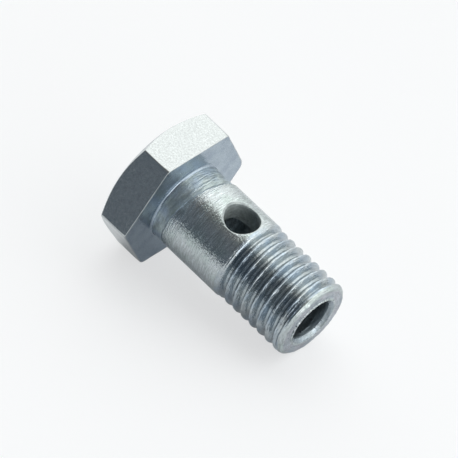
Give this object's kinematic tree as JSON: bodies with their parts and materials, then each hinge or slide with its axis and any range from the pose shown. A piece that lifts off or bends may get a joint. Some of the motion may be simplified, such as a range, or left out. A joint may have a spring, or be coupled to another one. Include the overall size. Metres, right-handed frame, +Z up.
{
  "type": "banjo bolt",
  "caption": "Hexagon-head banjo bolt with a blind oil bore up from the threaded tip, met by an oil hole drilled across the plain shank.",
  "frame": {"origin": "on the surface the bolt lies on, under the middle of its bounding box", "axes": "+X from the head to the threaded tip, which points 8.8 degrees down; +Z up, square to the surface it lies on; +Y across the bolt"},
  "size_m": [0.0318, 0.0218, 0.0196],
  "materials": {
    "zinc_steel": "bright zinc plate, turned"
  },
  "bodies": {
    "root": {"banjo_bolt": "zinc_steel"}
  },
  "joints": []
}
